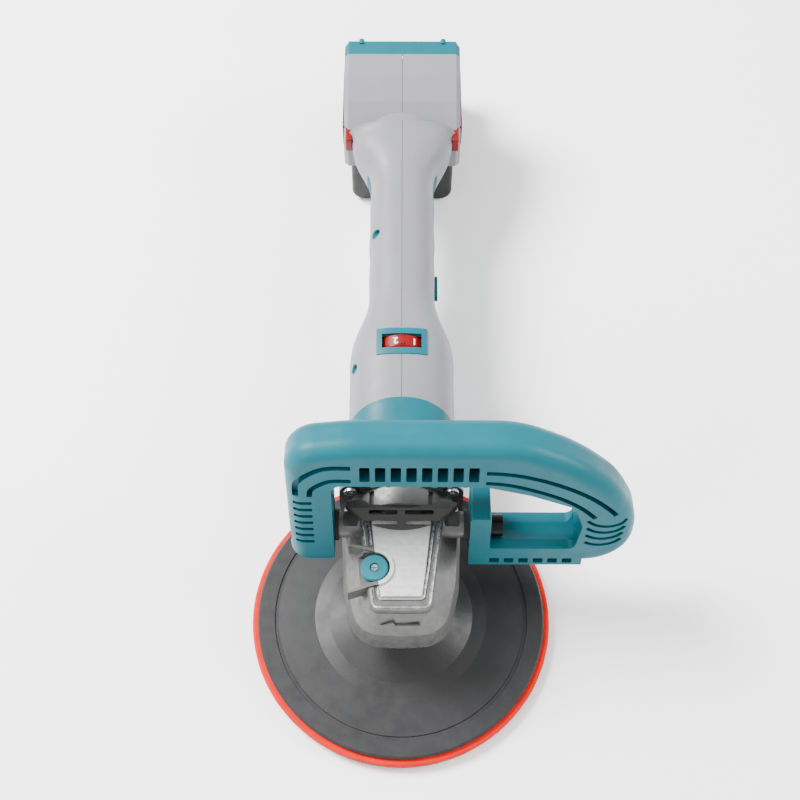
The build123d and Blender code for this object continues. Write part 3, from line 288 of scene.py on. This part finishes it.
def make_materials(colours):
    made = {
        "teal": moulded("teal_moulding", colours.teal, 0.42, spread=0.06, gloss=0.2),
        "teal_soft": moulded("teal_overmould", colours.teal_soft, 0.6, grain=1500.0, depth=0.00004, gloss=0.2),
        "button": moulded("button_moulding", (0.008, 0.115, 0.145), 0.4, spread=0.05, gloss=0.2),
        "grey": moulded("shell_moulding", colours.shell_grey, 0.46, spread=0.025, grain=2200.0),
        "charcoal": moulded("charcoal_moulding", colours.charcoal, 0.5, spread=0.05, depth=0.00004, grain=1700.0),
        "collar": moulded("collar_moulding", colours.collar, 0.5, spread=0.08, depth=0.00003),
        "red": moulded("red_moulding", colours.red, 0.36, spread=0.05, coat=0.1, gloss=0.2),
        "plate": moulded("plate_moulding", colours.plate, 0.38, grain=1300.0, depth=0.00005, spread=0.12, gloss=0.25),
        "foam": foam_material("pad_foam", colours.foam),
        "hook": hook_material("hook_fabric"),
        "alloy": cast_alloy("cast_alloy", colours.alloy),
        "case": case_alloy_painted_top("case_alloy_painted_top", colours.alloy),
        "steel": ground_steel("ground_steel", (0.42, 0.42, 0.43)),
        "shaft": ground_steel("turned_steel", (0.50, 0.50, 0.51), 0.22, (1.0, 30.0, 1.0)),
        "black_steel": ground_steel("black_oxide", (0.018, 0.018, 0.019), 0.42),
        "rubber": moulded("black_rubber", (0.012, 0.012, 0.012), 0.7, grain=1800.0, depth=0.00005, spread=0.2),
        "bronze": ground_steel("sintered_bronze", (0.42, 0.22, 0.08), 0.4),
        "lamination": laminated("stamped_stack", (0.23, 0.23, 0.24)),
        "copper": wound_copper("enamelled_copper"),
        "board": moulded("circuit_board", (0.01, 0.09, 0.035), 0.4, spread=0.25),
        "wrap": moulded("cell_sleeve", (0.02, 0.10, 0.28), 0.3, spread=0.05, coat=0.3),
        "polished": ground_steel("polished_alloy", (0.50, 0.50, 0.49), 0.26, (1.0, 1.0, 1.0)),
        # Near-black finish that stands in for shade: painted shade in the slot bottoms and in the housing seam.
        "shadow": moulded("painted_shade_moulding", (0.004, 0.006, 0.007), 0.7),
        "digit": moulded("white_ink", (0.8, 0.8, 0.8), 0.5, spread=0.03),
    }
    return made


FINISH = {
    "teal": ["loop_handle", "front_band", "dial_bezel", "rear_bumper", "lock_on_button"],
    "teal_soft": ["left_grip", "right_grip"],
    "button": ["lock_button"],
    "grey": ["left_housing", "right_housing"],
    "charcoal": ["switch_module", "battery_case", "battery_lid", "terminal_block", "trigger", "cooling_fan", "rear_bracket"],
    "collar": ["air_baffle"],
    "red": ["speed_dial", "latch_left", "latch_right"],
    "plate": ["backing_plate"],
    "hook": ["hook_face"],
    "foam": ["foam_layer"],
    "case": ["gear_case"],
    "alloy": ["bearing_retainer", "bearing_plate"],
    "steel": [
        "plate_hub", "crown_gear", "gear_clip", "retainer_screws", "head_screws", "plate_screws", "housing_screws", "lock_pin",
        "trigger_pin", "lock_spring", "latch_spring_left", "latch_spring_right", "spindle_bearing_outer", "spindle_bearing_inner",
        "front_bearing_outer", "front_bearing_inner", "rear_bearing_outer", "rear_bearing_inner", "spindle", "rotor_magnets",
    ],
    "shaft": ["motor_shaft", "pinion", "pinion_nut"],
    "black_steel": ["handle_bolts"],
    "rubber": ["handle_spacers", "spindle_seal"],
    "bronze": ["upper_bush"],
    "lamination": ["stator_core", "rotor_core"],
    "copper": ["stator_windings"],
    "board": ["speed_board", "control_board"],
    "wrap": ["battery_cells"],
}

MATERIALS = {}


# ------------------------------------------------------------------ helpers
def clear_selection():
    if bpy.context.object and bpy.context.object.mode != "OBJECT":
        bpy.ops.object.mode_set(mode="OBJECT")
    bpy.ops.object.select_all(action="DESELECT")


def settle(obj, name, body, material):
    """Name a finished piece, place it in its mesh, give it its finish and its body."""
    clear_selection()
    obj.select_set(True)
    bpy.context.view_layer.objects.active = obj
    bpy.ops.object.transform_apply(location=True, rotation=True, scale=True)
    obj.name = name
    obj.data.name = name
    obj.data.materials.clear()
    obj.data.materials.append(MATERIALS[material])
    bpy.ops.object.shade_smooth_by_angle(angle=math.radians(35))
    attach(obj, body)
    return obj


def centre(node):
    low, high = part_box(node)
    return [(a + b) / 2 for a, b in zip(low, high)]


# ------------------------------------------------------------------ operators
class POLISHER_OT_stage(bpy.types.Operator):
    """Pale floor, soft studio lights and the camera"""

    bl_idname = "polisher.stage"
    bl_label = "Stage"

    def execute(self, context):
        clear_selection()
        bpy.ops.mesh.primitive_plane_add(size=12.0, location=(0, 0, -0.0002))
        floor = context.object
        floor.name = "studio_floor"
        mat, tree, shader, coords = new_material("studio_floor")
        tint(tree, shader, noise(tree, coords, 3.0), (0.93, 0.93, 0.935), 0.01)
        shader.inputs["Roughness"].default_value = 0.9
        floor.data.materials.append(mat)
        world = bpy.data.worlds.new("studio") if not context.scene.world else context.scene.world
        context.scene.world = world
        world.use_nodes = True
        background = world.node_tree.nodes["Background"]
        background.inputs["Color"].default_value = (1, 1, 1, 1)
        background.inputs["Strength"].default_value = 1.25
        self.light("key", (-1.3, 0.75, 1.75), 1.0, 190)
        self.light("fill", (1.5, 0.2, 1.2), 0.8, 30)
        self.light("front", (-1.1, -1.0, 1.2), 0.8, 14)
        camera_data = bpy.data.cameras.new("camera")
        camera = bpy.data.objects.new("camera", camera_data)
        context.scene.collection.objects.link(camera)
        camera_data.sensor_width = 36.0
        camera_data.lens = 60.82
        camera_data.clip_start = 0.01
        camera.location = (-0.00099, -0.28155, 0.82743)
        camera.rotation_euler = (math.radians(90 - 61.93), 0, 0)
        camera.rotation_euler.rotate_axis("Z", math.radians(0.17))
        context.scene.camera = camera
        return {"FINISHED"}

    def light(self, name, place, size, power):
        data = bpy.data.lights.new(name, "AREA")
        data.shape = "DISK"
        data.size = size
        data.energy = power
        lamp = bpy.data.objects.new(name, data)
        bpy.context.scene.collection.objects.link(lamp)
        lamp.location = place
        aim = Vector((0.0, 0.15, 0.05)) - Vector(place)
        lamp.rotation_euler = aim.to_track_quat("-Z", "Y").to_euler()


class POLISHER_OT_finishes(bpy.types.Operator):
    """Give every carried-over part its finish"""

    bl_idname = "polisher.finishes"
    bl_label = "Finishes"

    def execute(self, context):
        MATERIALS.update(make_materials(context.scene.polisher_colours))
        for finish, nodes in FINISH.items():
            for node in nodes:
                obj = bpy.data.objects[node]
                if not obj.material_slots:
                    obj.data.materials.append(MATERIALS[finish])
                for material_slot in obj.material_slots:
                    material_slot.material = MATERIALS[finish]
        return {"FINISHED"}


class POLISHER_OT_foam_ring(bpy.types.Operator):
    """Closed-cell foam layer with a softly swollen, uneven flank"""

    bl_idname = "polisher.foam_ring"
    bl_label = "Foam layer"

    def execute(self, context):
        low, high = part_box("foam_layer")
        radius = high[0]
        swell = context.scene.polisher_sizes.foam_bulge
        clear_selection()
        bpy.ops.mesh.primitive_cylinder_add(
            vertices=256, radius=radius - swell, depth=high[2] - low[2], location=(0, 0, (low[2] + high[2]) / 2),
            end_fill_type="NGON",
        )
        foam = context.object
        bpy.ops.object.transform_apply(location=True, rotation=True, scale=True)
        bpy.ops.object.mode_set(mode="EDIT")
        for share in (0.2, 0.35, 0.5, 0.65, 0.8):
            bpy.ops.mesh.select_all(action="SELECT")
            level = low[2] + share * (high[2] - low[2])
            bpy.ops.mesh.bisect(plane_co=(0, 0, level), plane_no=(0, 0, 1))
            grow = 1 + swell * math.sin(math.pi * share) * 0.9 / radius
            bpy.ops.transform.resize(value=(grow, grow, 1), center_override=(0, 0, level))
        bpy.ops.mesh.select_all(action="DESELECT")
        bpy.ops.object.mode_set(mode="OBJECT")
        for edge in foam.data.edges:
            heights = [foam.data.vertices[v].co.z for v in edge.vertices]
            rim = min(abs(heights[0] - z) + abs(heights[1] - z) for z in (low[2], high[2])) < 1e-5
            edge.select = rim
        bpy.ops.object.mode_set(mode="EDIT")
        bpy.ops.mesh.select_mode(type="EDGE")
        bpy.ops.mesh.bevel(offset=0.0011, segments=4, profile=0.5)
        bpy.ops.mesh.select_all(action="SELECT")
        bpy.ops.mesh.normals_make_consistent(inside=False)
        bpy.ops.object.mode_set(mode="OBJECT")
        clouds = bpy.data.textures.new("foam_unevenness", type="CLOUDS")
        clouds.noise_scale = 0.012
        uneven = foam.modifiers.new("uneven", "DISPLACE")
        uneven.texture = clouds
        uneven.strength = 0.00025
        uneven.mid_level = 1.0
        bpy.ops.object.modifier_apply(modifier="uneven")
        settle(foam, "foam_ring", "spindle_set", "foam")
        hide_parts("foam_layer")
        return {"FINISHED"}


class POLISHER_OT_dial_numbers(bpy.types.Operator):
    """White numbers one to six round the speed dial"""

    bl_idname = "polisher.dial_numbers"
    bl_label = "Dial numbers"

    def execute(self, context):
        low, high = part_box("speed_dial")
        middle = Vector(((low[0] + high[0]) / 2, (low[1] + high[1]) / 2, (low[2] + high[2]) / 2))
        radius = (high[2] - low[2]) / 2
        size = context.scene.polisher_sizes.digit_height * 1.35
        for k in range(6):
            clear_selection()
            bpy.ops.object.text_add(location=(0, 0, 0))
            digit = context.object
            digit.data.body = str(k + 1)
            digit.data.align_x = "CENTER"
            digit.data.align_y = "CENTER"
            digit.data.size = size
            digit.data.extrude = 0.00006
            digit.data.offset = 0.00012
            bpy.ops.object.convert(target="MESH")
            digit = context.object
            turn = math.radians(28 - 41 * k)
            digit.matrix_world = (
                Matrix.Translation(middle) @ Matrix.Rotation(turn, 4, "Y") @ Matrix.Translation((0, 0, radius + 0.00003))
                @ Matrix.Rotation(math.pi, 4, "Z")
            )
            settle(digit, "dial_number_" + str(k + 1), "dial_set", "digit")
        return {"FINISHED"}


def rounded_path(points, radius, steps=6):
    """Corner points of a path with each inner corner rounded."""
    path = [Vector(points[0])]
    for before, corner, after in zip(points, points[1:], points[2:]):
        corner = Vector(corner)
        one = (Vector(before) - corner).normalized() * radius
        two = (Vector(after) - corner).normalized() * radius
        for k in range(steps + 1):
            t = k / steps
            path.append(corner + one * (1 - t) ** 2 + two * t ** 2)
    path.append(Vector(points[-1]))
    return path


def bead(name, path, thickness, material, body):
    """Round bead along a path, with closed ends."""
    clear_selection()
    curve = bpy.data.curves.new(name, "CURVE")
    curve.dimensions = "3D"
    curve.bevel_depth = thickness
    curve.bevel_resolution = 3
    curve.use_fill_caps = True
    spline = curve.splines.new("POLY")
    spline.points.add(len(path) - 1)
    for point, place in zip(spline.points, path):
        point.co = (*place, 1.0)
    obj = bpy.data.objects.new(name, curve)
    bpy.context.scene.collection.objects.link(obj)
    obj.select_set(True)
    bpy.context.view_layer.objects.active = obj
    bpy.ops.object.convert(target="MESH")
    return settle(bpy.context.object, name, body, material)


class POLISHER_OT_case_beads(bpy.types.Operator):
    """Polished double bead round the bright field on the gear head"""

    bl_idname = "polisher.case_beads"
    bl_label = "Gear head beads"

    def execute(self, context):
        top = 85.2
        outer = [(-17.4, -9.6), (-16.3, -21.0), (16.3, -21.0), (19.2, 2.0), (23.3, 33.0)]
        inner = [(-13.5, -8.2), (-12.9, -15.8), (12.9, -15.8), (15.7, 2.0), (19.7, 33.0)]
        lines = {
            "bead_outer_front": (outer, top - 0.1, 4.0, 0.85),
            "bead_inner_front": (inner, top - 0.55, 2.4, 0.75),
            "bead_outer_left": ([(-23.3, 33.0), (-22.0, 23.0), (-21.2, 16.8)], top - 0.1, 2.0, 0.85),
            "bead_inner_left": ([(-19.7, 33.0), (-18.4, 23.0), (-17.7, 17.2)], top - 0.55, 2.0, 0.75),
        }
        for name, (points, level, corner, thick) in lines.items():
            path = rounded_path([(x * MM, y * MM, level * MM) for x, y in points], corner * MM)
            bead(name, path, thick * MM, "polished", "housing")
        return {"FINISHED"}


SCREW_CUPS = [
    ("upper_barrel_cup", (-22.2, 139.0, 80.0), (-29.6, 139.0, 80.0), (-0.791, 0.0, 0.611)),
    ("upper_grip_cup", (-11.2, 240.0, 84.0), (-17.3, 240.0, 84.0), (-0.729, 0.0, 0.685)),
    ("lower_barrel_cup", (-22.2, 139.0, 44.0), (-28.6, 139.0, 44.0), (-0.80, 0.0, -0.60)),
    ("lower_grip_cup", (-10.2, 282.0, 53.0), (-18.2, 280.0, 53.0), (-0.82, 0.0, -0.57)),
]


class POLISHER_OT_screw_cups(bpy.types.Operator):
    """Teal liners in the housing's screw recesses"""

    bl_idname = "polisher.screw_cups"
    bl_label = "Screw cups"

    def execute(self, context):
        for name, floor, mouth, slope in SCREW_CUPS:
            clear_selection()
            length = (floor[0] - mouth[0] + 6.0) * MM
            bpy.ops.mesh.primitive_cylinder_add(
                vertices=40, radius=3.35 * MM, depth=length, end_fill_type="NOTHING",
                location=(floor[0] * MM - length / 2, floor[1] * MM, floor[2] * MM), rotation=(0, math.pi / 2, 0),
            )
            cup = context.object
            bpy.ops.object.transform_apply(location=True, rotation=True, scale=True)
            bpy.ops.object.mode_set(mode="EDIT")
            bpy.ops.mesh.select_all(action="SELECT")
            cut = [(m - s * 0.35) * MM for m, s in zip(mouth, slope)]
            bpy.ops.mesh.bisect(plane_co=cut, plane_no=slope, clear_outer=True)
            bpy.ops.object.mode_set(mode="OBJECT")
            wall = cup.modifiers.new("wall", "SOLIDIFY")
            wall.thickness = 0.6 * MM
            wall.offset = -1
            bpy.ops.object.modifier_apply(modifier="wall")
            settle(cup, name, "housing", "teal")
        return {"FINISHED"}


class POLISHER_OT_seam_tongue(bpy.types.Operator):
    """Tongue inside the joint between the housing halves, coloured near-black as painted shade in the joint"""

    bl_idname = "polisher.seam_tongue"
    bl_label = "Seam tongue"

    def execute(self, context):
        shell = bpy.data.objects["left_housing"]
        runs = {"seam_tongue_front": (116, 141), "seam_tongue_rear": (164, 384)}
        for name, (start, end) in runs.items():
            path = []
            for y in range(start, end, 4):
                hit, place, normal, face = shell.ray_cast(Vector((0.0006, y * MM, 0.2)), Vector((0, 0, -1)))
                if not hit:
                    raise RuntimeError("no shell under the seam at " + str(y))
                path.append(Vector((0, y * MM, place.z)) - Vector((0, normal.y, normal.z)) * 1.5 * MM)
            # The bead carries painted shade, not the housing's own grey.
            bead(name, path, 0.9 * MM, "shadow", "housing")
        return {"FINISHED"}


class POLISHER_OT_corner_trims(bpy.types.Operator):
    """Red trims on the foot's front corners and along its flanks"""

    bl_idname = "polisher.corner_trims"
    bl_label = "Corner trims"

    def execute(self, context):
        for name, side in (("corner_trim_left", 1), ("corner_trim_right", -1)):
            clear_selection()
            bpy.ops.mesh.primitive_cube_add(size=1.0, location=(side * 37.2 * MM, 329.5 * MM, 75.0 * MM))
            trim = context.object
            trim.scale = (5.2 * MM, 16.0 * MM, 12.4 * MM)
            bpy.ops.object.transform_apply(location=True, rotation=True, scale=True)
            bpy.ops.object.mode_set(mode="EDIT")
            bpy.ops.mesh.select_all(action="SELECT")
            bpy.ops.mesh.subdivide(number_cuts=2)
            bpy.ops.object.mode_set(mode="OBJECT")
            edge = trim.modifiers.new("edge", "BEVEL")
            edge.width = 1.1 * MM
            edge.segments = 4
            edge.limit_method = "ANGLE"
            bpy.ops.object.modifier_apply(modifier="edge")
            settle(trim, name, "housing", "red")
        return {"FINISHED"}


class POLISHER_OT_neck_fairing(bpy.types.Operator):
    """Soft saddle where the grip runs into the foot"""

    bl_idname = "polisher.neck_fairing"
    bl_label = "Neck fairing"

    def execute(self, context):
        clear_selection()
        bpy.ops.mesh.primitive_uv_sphere_add(segments=64, ring_count=32, radius=1.0, location=(0, 326.5 * MM, 78.2 * MM))
        saddle = context.object
        saddle.scale = (24.6 * MM, 22.0 * MM, 12.3 * MM)
        bpy.ops.object.transform_apply(location=True, rotation=True, scale=True)
        bpy.ops.object.mode_set(mode="EDIT")
        bpy.ops.mesh.select_all(action="SELECT")
        bpy.ops.mesh.bisect(plane_co=(0, 0, 76 * MM), plane_no=(0, 0, 1), clear_inner=True, use_fill=True)
        bpy.ops.mesh.select_all(action="SELECT")
        bpy.ops.mesh.bisect(plane_co=(0, 0, 0), plane_no=(1, 0, 0))
        bpy.ops.object.mode_set(mode="OBJECT")
        settle(saddle, "neck_fairing", "housing", "grey")
        return {"FINISHED"}


class POLISHER_OT_battery_ribs(bpy.types.Operator):
    """Finger ribs on the battery's two flanks"""

    bl_idname = "polisher.battery_ribs"
    bl_label = "Battery ribs"

    def execute(self, context):
        low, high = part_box("battery_case")
        for side, name in ((1, "left"), (-1, "right")):
            for k in range(6):
                level = low[2] + (11.0 + 4.6 * k) * MM
                start = Vector((side * high[0], 0.382, level))
                end = Vector((side * high[0], high[1] - 7.0 * MM, level))
                bead("battery_rib_" + name + "_" + str(k + 1), [start, end], 1.1 * MM, "charcoal", "battery_set")
        return {"FINISHED"}


def handle_point(u, v, depth=0.0):
    """Place on the loop handle's front face; depth goes into the handle."""
    tilt = math.radians(13)
    w = 13.5 - depth
    y = 30.0 + v * math.sin(tilt) - w * math.cos(tilt)
    z = 60.0 + v * math.cos(tilt) + w * math.sin(tilt)
    return Vector((u * MM, y * MM, z * MM))


class POLISHER_OT_slot_shade(bpy.types.Operator):
    """Painted shade: near-black pieces at the bottom of the loop handle's slots, standing in for the shade in the
    slots' hollow
    """

    bl_idname = "polisher.slot_floors"
    bl_label = "Slot shade"

    def execute(self, context):
        # Each listed place gets a near-black piece of painted shade at its slot's bottom.
        places = [("bar", -20.7 + 8.75 * k, 83.0, 5.7, 12.5, 8.6) for k in range(8)]
        places += [("arm", -56.8, 56.3 - 6.2 * k, 10.9, 2.5, 5.6) for k in range(7)]
        places += [("low", 56.0 + 8.75 * k, -0.2, 5.7, 4.5, 5.6) for k in range(6)]
        clear_selection()
        made = []
        for kind, u, v, width, height, depth in places:
            bpy.ops.mesh.primitive_cube_add(size=1.0)
            floor = context.object
            floor.scale = (width * MM, height * MM, 0.8 * MM)
            tilt = Matrix.Rotation(math.radians(90 - 13), 4, "X")
            floor.matrix_world = Matrix.Translation(handle_point(u, v, depth)) @ tilt @ Matrix.Diagonal((*floor.scale, 1.0))
            bpy.ops.object.transform_apply(location=True, rotation=True, scale=True)
            edge = floor.modifiers.new("edge", "BEVEL")
            edge.width = 0.2 * MM
            edge.segments = 2
            bpy.ops.object.modifier_apply(modifier="edge")
            made.append(floor)
        clear_selection()
        for floor in made:
            floor.select_set(True)
        context.view_layer.objects.active = made[0]
        bpy.ops.object.join()
        settle(context.object, "handle_slot_shade", "housing", "shadow")
        return {"FINISHED"}


class POLISHER_PT_panel(bpy.types.Panel):
    """Polisher tools"""

    bl_label = "Polisher"
    bl_idname = "POLISHER_PT_panel"
    bl_space_type = "VIEW_3D"
    bl_region_type = "UI"
    bl_category = "Polisher"

    def draw(self, context):
        for step in STEPS:
            self.layout.operator(step.bl_idname)


STEPS = [
    POLISHER_OT_stage, POLISHER_OT_finishes, POLISHER_OT_foam_ring, POLISHER_OT_dial_numbers, POLISHER_OT_case_beads,
    POLISHER_OT_screw_cups, POLISHER_OT_slot_shade, POLISHER_OT_seam_tongue, POLISHER_OT_corner_trims,
    POLISHER_OT_neck_fairing, POLISHER_OT_battery_ribs,
]
CLASSES = [PolisherColours, PolisherSizes, *STEPS, POLISHER_PT_panel]


def register():
    for cls in CLASSES:
        bpy.utils.register_class(cls)
    bpy.types.Scene.polisher_colours = bpy.props.PointerProperty(type=PolisherColours)
    bpy.types.Scene.polisher_sizes = bpy.props.PointerProperty(type=PolisherSizes)


def unregister():
    del bpy.types.Scene.polisher_sizes
    del bpy.types.Scene.polisher_colours
    for cls in reversed(CLASSES):
        bpy.utils.unregister_class(cls)


def main():
    register()
    for step in STEPS:
        group, name = step.bl_idname.split(".")
        getattr(getattr(bpy.ops, group), name)()


if __name__ == "__main__":
    main()
